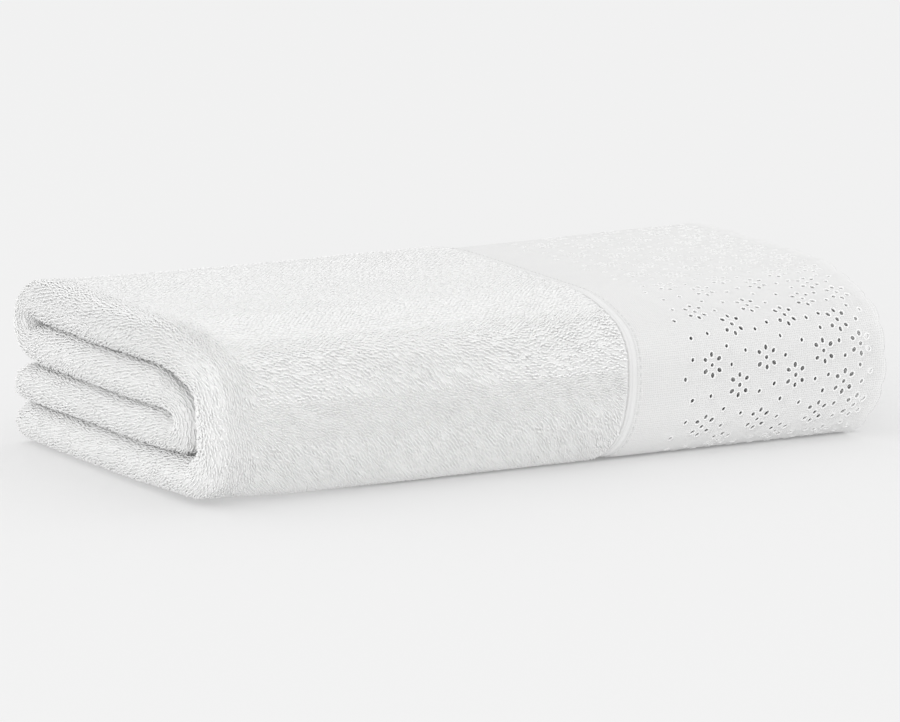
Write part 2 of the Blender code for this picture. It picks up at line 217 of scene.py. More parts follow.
def settle(x, y, z, w):
    """Soft unevenness: above the floor the lips and the far end wander along X by sums of sines of w, the front
    lips are drawn in, the top sags by a cosine of x, the lips lift and fill out, and the thin border drops onto
    what is under it."""
    left, right = ease(0.5 - x / FOLDED_LENGTH), ease(0.5 + x / FOLDED_LENGTH)
    off_ground = ease((w - FOOT) / WANDER_RISE)
    turn = 2 * np.pi * w / TOWEL_WIDTH
    shift = LIP_WANDER * left * off_ground * (np.sin(3 * turn + 3.7) + 0.5 * np.sin(7 * turn + 5.1))
    shift += END_WANDER * right * off_ground * (np.sin(2 * turn + 2.4) + 0.4 * np.sin(5 * turn))
    front = bell(np.maximum(w, FOOT) - WALL, LIP_DRAW["ease"]) * np.minimum(w / FOOT, 1)
    bottom_back = np.clip(1 - w / FOOT, 0, 1)
    shift += ease(-2 * x / FOLDED_LENGTH) * (LIP_DRAW["front"] * front + LIP_DRAW["back"] * bottom_back)
    shift -= end_draw(x, w)
    share = z / STACK_HEIGHT
    near_lips = ease(1 - (x + FOLDED_LENGTH / 2) / LIP_REACH)
    rise = -TOP_SAG * np.cos(np.pi * (x / FOLDED_LENGTH - SAG_PLACE)) * share**2
    fullness = np.interp(share, *LIP_FULLNESS.values()) * MM
    rise += near_lips * ease(0.5 + y / FOLDED_DEPTH) * fullness
    forward = ease((LIP_LIFT["start_y"] - y) / LIP_LIFT["run_y"])
    lift = LIP_LIFT["back"] + (LIP_LIFT["front"] - LIP_LIFT["back"]) * forward
    rise += lift * near_lips * np.clip(1 - share, 0, 1)
    drop = ease((x - BORDER_SETTLE["start"]) / BORDER_SETTLE["length"]) * BORDER_RECESS
    drop = drop * np.clip(1 - z / BORDER_SETTLE["height"], 0, 1) / (1 - BORDER_RECESS / BORDER_SETTLE["height"])
    return x + shift, y, np.maximum(z + rise - drop, FLOOR_CLEARANCE)


def fold_lengthwise(x, m, w):
    """Points given in a band (x along, m outward) placed at w along the stack, then settled. The inner side
    swells by bells of w into the hollow between the foot, the wall and the innermost turn."""
    point, normal, squeeze = STACK.at(w)
    swell = HOLLOW_FILL["wall"] * bell(w - (FOOT + WALL) / 2, HOLLOW_FILL["width"])
    fill_place = INNER_TURN_END - HOLLOW_FILL["turn_before"]
    swell = swell + HOLLOW_FILL["turn"] * bell(w - fill_place, HOLLOW_FILL["width"])
    outward = m * squeeze - swell * np.clip(-2 * m / BAND_THICK, 0, 1) ** 2
    y, z = np.moveaxis(point + outward[..., None] * normal, -1, 0)
    return np.stack(settle(x, y, z, w), -1)


def terry_at(s, w, h):
    """Folded place of a point of the terry: out from the layer's path by h, then into the stack."""
    point, normal, squeeze = LETTER.at(s)
    x = point[..., 0] - h * squeeze * normal[..., 0]
    m = point[..., 1] - h * squeeze * normal[..., 1]
    m = m + ease((x - LOOSE_START) / LOOSE_LENGTH) * LOOSENING * (m + BAND_THICK / 2)
    return fold_lengthwise(x, m, w)


DENT_HEIGHT = 0.06 * MM


def dents(s, w):
    """Shallow hollows and swells of the outer face: a sum of slow waves that die out at the seam and the
    right fold."""
    wave = np.sin(s / (17 * MM) + 0.8) * np.sin(w / (13 * MM) + 0.3)
    wave = wave + 0.7 * np.sin(s / (9.5 * MM) - w / (15 * MM) + 1.7)
    wave = wave + 0.5 * np.sin(s / (6 * MM) + w / (8 * MM))
    return DENT_HEIGHT * wave * ease(s / (12 * MM)) * ease((RIGHT_FOLD - s) / (30 * MM))


def new_piece(name, points, faces, material, slot, uv=None):
    """A smooth mesh from arrays; faces is one array or a list of them, and uv holds the cloth's own flat
    coordinates for each point."""
    mesh = bpy.data.meshes.new(name)
    mesh.from_pydata(points.reshape(-1, 3).astype(np.float32), [], [])
    faces = [np.asarray(group, np.int32) for group in (faces if isinstance(faces, list) else [faces])]
    corners = np.concatenate([group.ravel() for group in faces])
    sizes = np.concatenate([np.full(len(group), group.shape[1], np.int32) for group in faces])
    mesh.loops.add(len(corners))
    mesh.loops.foreach_set("vertex_index", corners)
    mesh.polygons.add(len(sizes))
    mesh.polygons.foreach_set("loop_start", np.concatenate([[0], np.cumsum(sizes)[:-1]]).astype(np.int32))
    if uv is not None:
        layer = mesh.uv_layers.new(name="cloth")
        layer.data.foreach_set("uv", uv.reshape(-1, 2)[corners].astype(np.float32).ravel())
    mesh.update(calc_edges=True)
    mesh.validate()
    mesh.shade_smooth()
    mesh.materials.append(material)
    piece = bpy.data.objects.new(name, mesh)
    bpy.context.scene.collection.objects.link(piece)
    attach(piece, "root")
    return piece


FOLDED_HEIGHT = 53 * MM
MOTTLE_DARK = 0.97
# Painted shade of the ground cloth by height: darker than the loops' ramp so the gaps between the loops look
# shaded, and darkest at the top.
GROUND_PAINTED_SHADE = (
    # share of the folded height, share of the colour kept there by the painted shade
    (0.0, 1.0), (0.15, 0.97), (0.30, 0.89), (0.60, 0.89), (0.73, 0.91), (0.86, 0.91), (0.93, 0.83), (1.0, 0.82),
)


def add_node(nodes, kind, traits, sockets):
    """A shader node with its own traits and with the values of its sockets, by their name or number."""
    node = nodes.new(kind)
    for trait, value in traits.items():
        setattr(node, trait, value)
    for socket, value in sockets.items():
        node.inputs[socket].default_value = value
    return node


def cotton(name, colour, roughness, bump_scale, bump_height, sheen, painted_shade):
    """White cotton: a Principled surface with soft sheen, faint mottling and a fine fibre bump in Object space.
    Its colour is multiplied by a painted shade given for shares of the folded height, straight between them,
    lighter or darker by height as the light falls on the folded towel."""
    material = bpy.data.materials.new(name)
    material.use_nodes = True
    nodes, link = material.node_tree.nodes, material.node_tree.links.new
    shader = nodes["Principled BSDF"]
    finish = {"Roughness": roughness, "Sheen Weight": sheen, "Sheen Roughness": 0.6, "Specular IOR Level": 0.2}
    for socket, value in finish.items():
        shader.inputs[socket].default_value = value
    place = nodes.new("ShaderNodeTexCoord").outputs["Object"]

    mottle = add_node(nodes, "ShaderNodeTexNoise", {}, {"Scale": 160, "Detail": 3})
    tint = add_node(nodes, "ShaderNodeMix", {"data_type": "RGBA"},
                    {"A": (*[c * MOTTLE_DARK for c in colour], 1), "B": (*colour, 1)})
    link(place, mottle.inputs["Vector"])
    link(mottle.outputs["Fac"], tint.inputs["Factor"])

    # Painted shade: a ramp over the height in Object space lightens or darkens the colour, standing in for how
    # the light falls on the folded towel.
    height = nodes.new("ShaderNodeSeparateXYZ")
    share_of_height = add_node(nodes, "ShaderNodeMath", {"operation": "MULTIPLY"}, {1: 1 / FOLDED_HEIGHT})
    ramp = nodes.new("ShaderNodeValToRGB")
    stops = ramp.color_ramp.elements
    for height_share, _ in painted_shade[1:-1]:
        stops.new(height_share)
    for stop, (height_share, white) in zip(stops, painted_shade):
        stop.position, stop.color = height_share, (white, white, white, 1)
    shaded = add_node(nodes, "ShaderNodeMix", {"data_type": "RGBA", "blend_type": "MULTIPLY"}, {"Factor": 1.0})
    link(place, height.inputs[0])
    link(height.outputs["Z"], share_of_height.inputs[0])
    link(share_of_height.outputs[0], ramp.inputs["Fac"])
    link(ramp.outputs["Color"], shaded.inputs["B"])
    link(tint.outputs["Result"], shaded.inputs["A"])
    link(shaded.outputs["Result"], shader.inputs["Base Color"])

    fibre = add_node(nodes, "ShaderNodeTexNoise", {}, {"Scale": bump_scale, "Detail": 4})
    bump = add_node(nodes, "ShaderNodeBump", {}, {"Strength": 1.0, "Distance": bump_height})
    link(place, fibre.inputs["Vector"])
    link(fibre.outputs["Fac"], bump.inputs["Height"])
    link(bump.outputs["Normal"], shader.inputs["Normal"])
    return material


def grid_faces(rows, columns):
    """Quads of a grid of points, wound so that they face the outer side of the cloth."""
    index = np.arange(rows * columns).reshape(rows, columns)
    return np.stack([index[:-1, :-1], index[:-1, 1:], index[1:, 1:], index[1:, :-1]], -1).reshape(-1, 4)


GROUND_HEIGHT = 1.55 * MM
SUNK_HEIGHT = 1.0 * MM
HEM_ROUND = 1.2 * MM
HEM_EDGE_SHARE = 0.5


def ground_height(s, w):
    """Half thickness of the ground cloth: thinner where loops stand on it, thinnest in the loose layers under
    the border, full where layers lie pressed."""
    shown = ease((w - FOOT + 20 * MM) / (5 * MM)) * ease((BACK_END + 8 * MM - w) / (5 * MM))
    shown = shown * ease((LIP_END - s) / MM)
    lips = ease((s - LIP + 16 * MM) / (5 * MM)) * ease((LIP_END + 9 * MM - s) / (5 * MM))
    fold = ease((s - RIGHT_FOLD + 8 * MM) / (4 * MM)) * ease((RIGHT_FOLD_END + 8 * MM - s) / (4 * MM))
    sunk = ease((s - RIGHT_FOLD - 3 * MM) / (4 * MM)) * ease((UNDER_BORDER_END - 4 * MM - s) / (8 * MM))
    height = TERRY_THICK / 2 - (TERRY_THICK / 2 - GROUND_HEIGHT) * np.maximum(np.maximum(shown, lips), fold)
    return height - (height - SUNK_HEIGHT) * sunk


def closed_sheet(name, along, across, place, material, slot):
    """Outer and inner grids joined round their edges; the first and last rows and columns are thinner."""
    s, w = np.meshgrid(along, across, indexing="ij")
    thin_s, thin_w = np.ones(len(along)), np.ones(len(across))
    thin_s[[0, -1]] = thin_w[[0, -1]] = HEM_EDGE_SHARE
    thinning = np.minimum.outer(thin_s, thin_w)
    rows, columns = s.shape
    count = rows * columns
    index = np.arange(count).reshape(rows, columns)
    outer = grid_faces(rows, columns)
    ring = np.concatenate([index[:-1, 0], index[-1, :-1], index[:0:-1, -1], index[0, :0:-1]])
    ahead = np.roll(ring, -1)
    walls = np.stack([ring, ahead, ahead + count, ring + count], -1)
    points = np.concatenate([place(s, w, side, thinning).reshape(-1, 3) for side in (1, -1)])
    faces = np.concatenate([outer, outer[:, ::-1] + count, walls])
    uv = np.tile(np.stack([s, w], -1).reshape(-1, 2), (2, 1))
    return new_piece(name, points, faces, material, slot, uv)


def with_hems(stations):
    """A station close to each end, where the rounded hem reaches its full thickness."""
    first, last = stations[0] + HEM_ROUND, stations[-1] - HEM_ROUND
    inner = stations[(stations > first + HEM_ROUND / 2) & (stations < last - HEM_ROUND / 2)]
    return np.concatenate([[stations[0], first], inner, [last, stations[-1]]])


def ground_place(s, w, side, thinning):
    """Ground cloth: half its thickness from the middle, with the dents on the outer face."""
    return terry_at(s, w, side * ground_height(s, w) * thinning + (dents(s, w) if side > 0 else 0))


terry_white = cotton("white_terry_cotton", (0.96, 0.96, 0.957), roughness=0.95, bump_scale=2400,
                     bump_height=0.2 * MM, sheen=0.1, painted_shade=GROUND_PAINTED_SHADE)
terry = closed_sheet("terry_cloth", with_hems(LETTER.stations(longest_run=6 * MM, widest_turn=10)),
                     with_hems(STACK.stations(longest_run=4.5 * MM, widest_turn=9)),
                     ground_place, terry_white, "white_terry")
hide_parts("terry_body")

# ---- Terry loops -------------------------------------------------------------------------------------
# The pile: uncut loops of soft cotton yarn, woven in rows on both faces of the ground cloth. Each is a short
# arch of yarn, pressed over to one side. Loops are made where the folded towel shows them, on the outer face.

YARN_RADIUS = 0.225 * MM
LOOP_SPAN = 1.25 * MM
LOOP_HEIGHT = 0.9 * MM
LOOP_FOOT = 0.15 * MM
LOOP_ROOT = 0.45 * MM
LOOP_STEP = 0.85 * MM
EDGE_KEPT = 0.3 * MM
LOOP_VARIES = {"along": 0.2, "across": 0.22, "turn": 0.12, "span": (0.85, 1.15), "height": (0.45, 1.2),
               "lean": 0.25, "radius": (0.9, 1.1)}
TOP_SLANT, FRONT_SLANT, LIP_SLANT = 0.2, 0.45, 1.4
LOW_PILE, LIP_PILE = 0.35, 0.7
ARCH = np.array([0.14, 0.5, 0.86])
AROUND = np.radians([90, 210, 330])
LOOP_POINTS = len(ARCH) * len(AROUND) + 2


def flow(s, w):
    """Way the loops lie on the cloth, an angle from s towards w: slanted on the front, level on the shoulder,
    along the fold on the lips, turning with slow waves."""
    front = ease((w - FOOT + 10 * MM) / (12 * MM)) * ease((TOP_SLOPE + 12 * MM - w) / (20 * MM))
    level = ease((w - WALL - 1 * MM) / (9 * MM)) * (0.4 + 0.45 * ease(1.2 - s / (45 * MM)))
    slant = (TOP_SLANT + FRONT_SLANT * front) * (1 - level)
    slant = slant + (LIP_SLANT - slant) * ease((s - LIP + 14 * MM) / (10 * MM))
    return slant + 0.1 * np.sin(s / (13 * MM) + w / (17 * MM)) + 0.08 * np.sin(w / (8 * MM) - s / (19 * MM))


def pile_height(s, w):
    """Share of the full loop height: full on the wall and the lips, lower on the top and close to the floor."""
    wall = ease((w - FOOT - 3 * MM) / (14 * MM)) * ease((TOP_SLOPE + 10 * MM - w) / (16 * MM))
    lips = ease((s - LIP + 12 * MM) / (12 * MM))
    return LOW_PILE + (1 - LOW_PILE) * np.maximum(wall, LIP_PILE * lips)


def loop_places(rng, s_range, w_range, step_along, step_across, slant):
    """Places of the loops: a jittered lattice between the two ranges whose rows run along the slant, every
    second row half a step further on."""
    half = np.hypot(s_range[1] - s_range[0], w_range[1] - w_range[0]) / 2
    along, across = np.meshgrid(np.arange(-half, half, step_along), np.arange(-half, half, step_across),
                                indexing="ij")
    along = along + np.where(np.arange(along.shape[1]) % 2, step_along / 2, 0)
    along_off, across_off = LOOP_VARIES["along"], LOOP_VARIES["across"]
    along = along + rng.uniform(-along_off, along_off, along.shape) * step_along
    across = across + rng.uniform(-across_off, across_off, along.shape) * step_across
    s = sum(s_range) / 2 + along * np.cos(slant) - across * np.sin(slant)
    w = sum(w_range) / 2 + along * np.sin(slant) + across * np.cos(slant)
    inside = (s > s_range[0]) & (s < s_range[1]) & (w > w_range[0]) & (w < w_range[1])
    return s[inside], w[inside]


def loop_faces(count):
    """Faces of the arches: two bands of quads between three rings, and three triangles that close each end."""
    ring = np.arange(len(AROUND))
    after = (ring + 1) % len(AROUND)
    last = LOOP_POINTS - 1
    caps = np.concatenate([np.stack([0 * ring, 1 + after, 1 + ring], -1),
                           np.stack([0 * ring + last, last - 3 + ring, last - 3 + after], -1)])
    sides = np.concatenate([np.stack([first + ring, first + after, first + 3 + after, first + 3 + ring], -1)
                            for first in (1, 4)])
    offset = LOOP_POINTS * np.arange(count)[:, None, None]
    return [(sides + offset).reshape(-1, 4), (caps + offset).reshape(-1, 3)]


def loop_field(name, s_range, w_range, step_along, step_across, slant, seed):
    """Arches of yarn on one part of the cloth. In the cloth's own space an arch goes along by span (t - 1/2),
    up by height sqrt(1 - (2t - 1)^2) and aside by its lean; three-sided rings follow it and both ends close in
    the ground cloth."""
    rng = np.random.default_rng(seed)
    s, w = loop_places(rng, s_range, w_range, step_along, step_across, slant)
    count = s.size
    angle = (flow(s, w) + rng.normal(0, LOOP_VARIES["turn"], count))[:, None]
    size = np.sqrt(step_along * step_across) / LOOP_STEP
    span = LOOP_SPAN * size * rng.uniform(*LOOP_VARIES["span"], count)
    height = LOOP_HEIGHT * rng.uniform(*LOOP_VARIES["height"], count) * pile_height(s, w)
    lean = rng.normal(0, LOOP_VARIES["lean"], count)
    radius = (YARN_RADIUS * (0.5 + 0.5 * size) * rng.uniform(*LOOP_VARIES["radius"], count))[:, None, None]
    t = np.concatenate([[-0.04], ARCH, [1.04]])
    arch = np.sqrt(np.clip(1 - (2 * t - 1) ** 2, 0, 1))
    along = span[:, None] * (t - 0.5)
    aside = lean[:, None] * height[:, None] * arch
    up = height[:, None] * arch - LOOP_FOOT
    up[:, [0, -1]] -= LOOP_ROOT
    tilt = np.arctan(np.gradient(up, axis=1) / np.gradient(along, axis=1))[:, 1:-1, None]
    rings = (along[:, 1:-1, None] - radius * np.sin(AROUND) * np.sin(tilt),
             aside[:, 1:-1, None] + radius * np.cos(AROUND),
             up[:, 1:-1, None] + radius * np.sin(AROUND) * np.cos(tilt))
    along, aside, up = [np.concatenate([line[:, :1], ring.reshape(count, -1), line[:, -1:]], 1)
                        for line, ring in zip((along, aside, up), rings)]
    yarn_s = s[:, None] + along * np.cos(angle) - aside * np.sin(angle)
    yarn_w = w[:, None] + along * np.sin(angle) + aside * np.cos(angle)
    yarn_s = np.maximum(yarn_s, EDGE_KEPT)
    yarn_w = np.clip(yarn_w, EDGE_KEPT, TOWEL_WIDTH - EDGE_KEPT)
    points = terry_at(yarn_s, yarn_w, (ground_height(s, w) + dents(s, w))[:, None] + up)
    uv = np.repeat(np.stack([s, w], -1), LOOP_POINTS, axis=0)
    return new_piece(name, points, loop_faces(count), loop_white, "white_terry", uv)


# Painted shade of the loops by height: full white low down, a little darker over the upper third of the folded
# height, most just below the top.
LOOP_PAINTED_SHADE = (
    (0.0, 1.0), (0.60, 1.0), (0.73, 0.975), (0.85, 0.965), (0.91, 0.93), (0.95, 0.935), (1.0, 0.97),
)
loop_white = cotton("white_loop_yarn", (0.99, 0.99, 0.987), roughness=0.95, bump_scale=5200,
                    bump_height=0.06 * MM, sheen=0.1, painted_shade=LOOP_PAINTED_SHADE)

LIP_FROM, LIP_TO = LIP - 9.5 * MM, LIP_END + 7 * MM
FOLD_FROM, FOLD_TO = RIGHT_FOLD - 5 * MM, RIGHT_FOLD_END - 2 * MM
LOW_EDGE, FAR_EDGE = 0.8 * MM, TOWEL_WIDTH - 0.8 * MM
FRONT_FROM, SHOULDER_FROM = FOOT - 12 * MM, WALL + 4 * MM
TOP_FROM, LIP_TOP_FROM, TOP_MIDDLE = TOP_SLOPE + 8 * MM, TOP_SLOPE + 40 * MM, TOP_FLAT + 34 * MM
BACK_TO = BACK_END + 4 * MM
LOOP_FIELDS = (
    # name, range of s, range of w, step along a row, step between rows, slant of the rows, seed
    ("front", (1.1 * MM, LIP_FROM), (FRONT_FROM, SHOULDER_FROM), 1.1 * MM, 0.8 * MM, 0.62, 11),
    ("shoulder", (1.1 * MM, LIP_FROM), (SHOULDER_FROM, TOP_FROM), 1.1 * MM, 0.8 * MM, 0.35, 17),
    ("top_front", (1.3 * MM, LIP_FROM), (TOP_FROM, TOP_MIDDLE), 1.3 * MM, 1.1 * MM, TOP_SLANT, 12),
    ("top_back", (1.3 * MM, LIP_FROM), (TOP_MIDDLE, BACK_TO), 1.45 * MM, 1.35 * MM, TOP_SLANT, 13),
    ("lips_front", (LIP_FROM, LIP_TO), (FRONT_FROM, LIP_TOP_FROM), 1.15 * MM, 0.8 * MM, LIP_SLANT, 18),
    ("lips_top", (LIP_FROM, LIP_TO), (LIP_TOP_FROM, BACK_TO), 1.1 * MM, 0.9 * MM, LIP_SLANT, 19),
    ("lips_low", (LIP_FROM, LIP_TO), (LOW_EDGE, FRONT_FROM), 1.1 * MM, 0.8 * MM, LIP_SLANT, 14),
    ("lips_inner", (LIP_FROM + 4 * MM, LIP_TO), (BACK_TO, FAR_EDGE), 1.1 * MM, 0.9 * MM, LIP_SLANT, 15),
    ("right_fold", (FOLD_FROM, FOLD_TO), (LOW_EDGE, FAR_EDGE), 1.5 * MM, 1.4 * MM, TOP_SLANT, 16),
)
loops = [loop_field("loops_" + name, *field) for name, *field in LOOP_FIELDS]

# ---- Eyelet border -----------------------------------------------------------------------------------
# A panel of plain woven cotton sewn to the terry's end. Flowers of seven eyelets and single eyelets are punched
# and overcast with a raised ring of thread, and the long edge is scalloped and bound with close stitches.

def border_line():
    """Distances along the folded border and the places w where they are reached: sums of the chords of the
    border's middle line."""
    w = np.linspace(0, TOWEL_WIDTH, 2001)
    point, normal, squeeze = STACK.at(w)
    line = point + (BORDER_MIDDLE * squeeze)[:, None] * normal
    return np.append(0, np.cumsum(np.linalg.norm(np.diff(line, axis=0), axis=1))), w


BORDER_DISTANCES, BORDER_PLACES = border_line()
BORDER_RUN = BORDER_DISTANCES[-1]
REPEATS = 27
REPEAT = BORDER_RUN / REPEATS
FIRST_REPEAT = 148.5 * MM - 7 * REPEAT
SCALLOP = REPEAT / 2
SCALLOP_DEPTH = 1.3 * MM
SCALLOP_OFFSET = 0.77
SEAM_GAP = 0.3 * MM
CLOTH_HALF = 0.3 * MM
FLOWER_CHART = {
    # millimetres from the seam, millimetres along the border from the repeat's first row
    "first": [(30.0, 0.0), (49.8, 0.2), (70.6, 0.0)],
    "second": [(39.9, -7.2), (60.0, -6.3)],
    "edge": [(77.8, -10.1), (84.0, 0.9)],
}
SINGLE_CHART = {
    "seam_side": [(23.0, 2.2), (20.4, -3.5), (23.6, -10.2), (30.0, -9.5)],
    "left": [(37.0, -0.6), (35.6, 5.1), (42.3, 3.2), (47.4, -9.9), (52.4, -8.2)],
    "right": [(55.6, 6.2), (56.6, 0.3), (63.1, 4.1), (67.1, -8.2), (71.9, -7.4), (70.7, 7.1)],
    "edge": [(76.4, 2.4), (78.2, -2.2), (83.3, -5.6), (86.9, -7.9), (84.3, -10.8)],
}
CHART_STRETCH = np.array([1.0095, 1])
CHART_SHIFT = [0.3 * MM, 0.2 * MM]
CHART_SKEW, SKEW_PLACE = 0.015, 60 * MM
PETALS = {"upright": 3.15 * MM, "side_x": 2.55 * MM, "side_u": 1.85 * MM}
PETAL_HALF = {"long": 0.86 * MM, "short": 0.66 * MM}
CENTRE_HALF = 0.67 * MM
SINGLE_HALF = {"long": 0.68 * MM, "short": 0.57 * MM}
EYELET_VARIES = {"place": 0.07 * MM, "size": (0.92, 1.08), "turn": 0.12}
EYELET_MARGIN = 2.2 * MM


def eyelet_chart():
    """Eyelets of one repeat as rows x, u, long half, short half, angle: each flower is a centre and six petals
    whose long axes point away from it; each single is a slightly long oval."""
    flowers, singles = [np.concatenate([np.array(row) for row in chart.values()]) * MM
                        for chart in (FLOWER_CHART, SINGLE_CHART)]
    for places in (flowers, singles):
        places[:] = places * CHART_STRETCH + CHART_SHIFT
        places[:, 1] += CHART_SKEW * (places[:, 0] - SKEW_PLACE)
    up, side_x, side_u = PETALS.values()
    petals = np.array([(0, up), (side_x, side_u), (side_x, -side_u),
                       (0, -up), (-side_x, -side_u), (-side_x, side_u)])
    rows = []
    for flower in flowers:
        for petal in petals:
            rows.append((*(flower + petal), *PETAL_HALF.values(), np.arctan2(petal[1], petal[0])))
        rows.append((*flower, CENTRE_HALF, CENTRE_HALF, 0))
    for number, single in enumerate(singles):
        rows.append((*single, *SINGLE_HALF.values(), 1.2 + 0.7 * np.sin(2.3 * number)))
    return np.array(rows)


def all_eyelets():
    """Eyelets of every repeat that fit between the two selvedges, each a little off its place."""
    rng = np.random.default_rng(21)
    chart = eyelet_chart()
    rows = np.tile(chart, (REPEATS + 2, 1))
    rows[:, 1] += np.repeat(FIRST_REPEAT + REPEAT * np.arange(-1, REPEATS + 1), len(chart))
    rows[:, :2] += rng.normal(0, EYELET_VARIES["place"], (len(rows), 2))
    rows[:, 2:4] *= rng.uniform(*EYELET_VARIES["size"], (len(rows), 1))
    rows[:, 4] += rng.normal(0, EYELET_VARIES["turn"], len(rows))
    return rows[(rows[:, 1] > EYELET_MARGIN) & (rows[:, 1] < BORDER_RUN - EYELET_MARGIN)]


def border_reach(u):
    """Distance from the seam to the scalloped edge: half circles, flattened, one after another."""
    phase = (u / SCALLOP + SCALLOP_OFFSET) % 1
    return BORDER_LENGTH - SCALLOP_DEPTH + SCALLOP_DEPTH * np.sqrt(np.clip(1 - (2 * phase - 1) ** 2, 0, 1))


def border_at(x, u, h):
    """Folded place of a point of the border: x from the seam, u along the border, h out from its middle."""
    return fold_lengthwise(SEAM_X + x, BORDER_MIDDLE + h, np.interp(u, BORDER_DISTANCES, BORDER_PLACES))


PUCKER = {"all_over": 0.04 * MM, "free_edge": 0.06 * MM}
EDGE_LIFT = {"even": 0.2 * MM, "changing": 0.25 * MM}


def border_swell(x, u):
    """Slow puckers of the woven panel, two crossing waves that grow towards the free scalloped edge, and a
    small lift of that edge that changes from scallop to scallop."""
    free = ease((x - 60 * MM) / (32 * MM))
    wave = np.sin(x / (7 * MM) + u / (6.5 * MM)) + 0.8 * np.sin(u / (3.7 * MM) - x / (12 * MM) + 1.1)
    pucker = (PUCKER["all_over"] + PUCKER["free_edge"] * free) * wave * ease((x - 4 * MM) / (8 * MM))
    lift = EDGE_LIFT["even"] + EDGE_LIFT["changing"] * np.sin(np.pi * u / SCALLOP + 0.5)
    return pucker + lift * ease((x - 84 * MM) / (8 * MM))


def oval_rings(eyelets, outs, sides):
    """Points round each eyelet on ovals grown by each of the outs, as an array rings x eyelets x sides x 2."""
    turn = 2 * np.pi * np.arange(sides) / sides
    long, short, angle = eyelets[:, 2, None], eyelets[:, 3, None], eyelets[:, 4, None]
    rings = []
    for out in outs:
        a, b = (long + out) * np.cos(turn), (short + out) * np.sin(turn)
        rings.append(np.stack([eyelets[:, :1] + a * np.cos(angle) - b * np.sin(angle),
                               eyelets[:, 1:2] + a * np.sin(angle) + b * np.cos(angle)], -1))
    return np.stack(rings)


GRID_COLUMNS, GRID_ROWS = 30, 215
GRID_FROM, GRID_TO = 2.6 * MM, 90 * MM
GRID_CLEAR = 0.35 * MM
SEEN_FROM, SEEN_TO = 95 * MM, 285 * MM
CREST_OUT, FOOT_OUT = 0.26 * MM, 0.52 * MM
SEEN_SIDES, UNSEEN_SIDES = 8, 6
SEEN_RINGS = {"out": (0, CREST_OUT, FOOT_OUT), "rise": (0.08 * MM, 0.2 * MM, 0), "overcast": (1, 1, 0)}
UNSEEN_RINGS = {"out": (0, CREST_OUT), "rise": (0.1 * MM, 0), "overcast": (1, 0)}
EDGE_LINES = {"in": (0, 0.5 * MM, 1.9 * MM), "rise": (0.05 * MM, 0.16 * MM, 0), "overcast": (0.35, 0.35, 0.1)}
SCALLOP_STEPS = 8


def panel_grid(eyelets):
    """Grid points of the plain panel, x from the seam by u, that stay clear of the eyelets and their rims."""
    along = np.concatenate([[SEAM_GAP], np.linspace(GRID_FROM, GRID_TO, GRID_COLUMNS)])
    across = np.linspace(0, BORDER_RUN, GRID_ROWS)
    grid = np.stack(np.meshgrid(along, across, indexing="ij"), -1)
    gap = [(np.linalg.norm(column[:, None] - eyelets[:, :2], axis=2) - eyelets[:, 2]).min(1) for column in grid]
    kept = np.stack(gap) > FOOT_OUT + GRID_CLEAR
    kept[:, [0, -1]] = True
    return grid[kept]


def border_sheet():
    """The whole panel as flat triangles: a constrained triangulation of a grid, lines along the scallops and
    ovals round each eyelet, with the eyelets left open. Returns points, heights, overcast shares and faces."""
    eyelets = all_eyelets()
    seen = (eyelets[:, 1] > SEEN_FROM) & (eyelets[:, 1] < SEEN_TO)
    grid = panel_grid(eyelets)
    edge_u = np.linspace(0, BORDER_RUN, 2 * REPEATS * SCALLOP_STEPS + 1)
    edge = np.stack([np.stack([border_reach(edge_u) - inset, edge_u], -1) for inset in EDGE_LINES["in"]])
    stitched = ((edge[:, None], EDGE_LINES),
                (oval_rings(eyelets[seen], SEEN_RINGS["out"], SEEN_SIDES), SEEN_RINGS),
                (oval_rings(eyelets[~seen], UNSEEN_RINGS["out"], UNSEEN_SIDES), UNSEEN_RINGS))
    # columns of each row: x, u, height, overcast share, number of the eyelet whose hole it borders
    rows, fixed = [np.column_stack([grid, np.zeros((len(grid), 2)), np.full(len(grid), -1)])], []
    start, numbered = len(grid), 0
    for lines, relief in stitched:
        count, sides = lines.shape[1:3]
        index = start + np.arange(lines[..., 0].size).reshape(-1, sides)
        steps = np.stack([index, np.roll(index, -1, 1)], -1)
        hole = np.full(index.size, -1)
        if "out" in relief:
            hole[:count * sides] = numbered + np.repeat(np.arange(count), sides)
            numbered += count
        else:
            steps = steps[:, :-1]
        fixed.append(steps.reshape(-1, 2))
        rows.append(np.column_stack([lines.reshape(-1, 2), np.repeat(relief["rise"], count * sides),
                                     np.repeat(relief["overcast"], count * sides), hole]))
        start += index.size
    rows = np.concatenate(rows)
    found = delaunay_2d_cdt([tuple(p) for p in (rows[:, :2] / MM).tolist()], np.concatenate(fixed).tolist(),
                            [], 0, 1e-4)
    flat, faces = np.array([tuple(p) for p in found[0]]) * MM, np.array(found[2])
    rise, overcast, hole = rows[[ids[0] for ids in found[3]], 2:].T
    in_eyelet = (hole[faces[:, 0]] >= 0) & (hole[faces] == hole[faces[:, :1]]).all(1)
    middle = flat[faces].mean(1)
    outside = middle[:, 0] > np.interp(middle[:, 1], edge_u, border_reach(edge_u))
    return flat, rise, overcast, faces[~(in_eyelet | outside)]


def boundary_edges(faces):
    """Directed edges that only one triangle uses."""
    edges = np.concatenate([faces[:, [0, 1]], faces[:, [1, 2]], faces[:, [2, 0]]])
    key = np.sort(edges, 1)
    order = np.lexsort(key.T)
    same = (key[order][1:] == key[order][:-1]).all(1)
    paired = np.zeros(len(edges), bool)
    paired[order[1:][same]] = paired[order[:-1][same]] = True
    return edges[~paired]


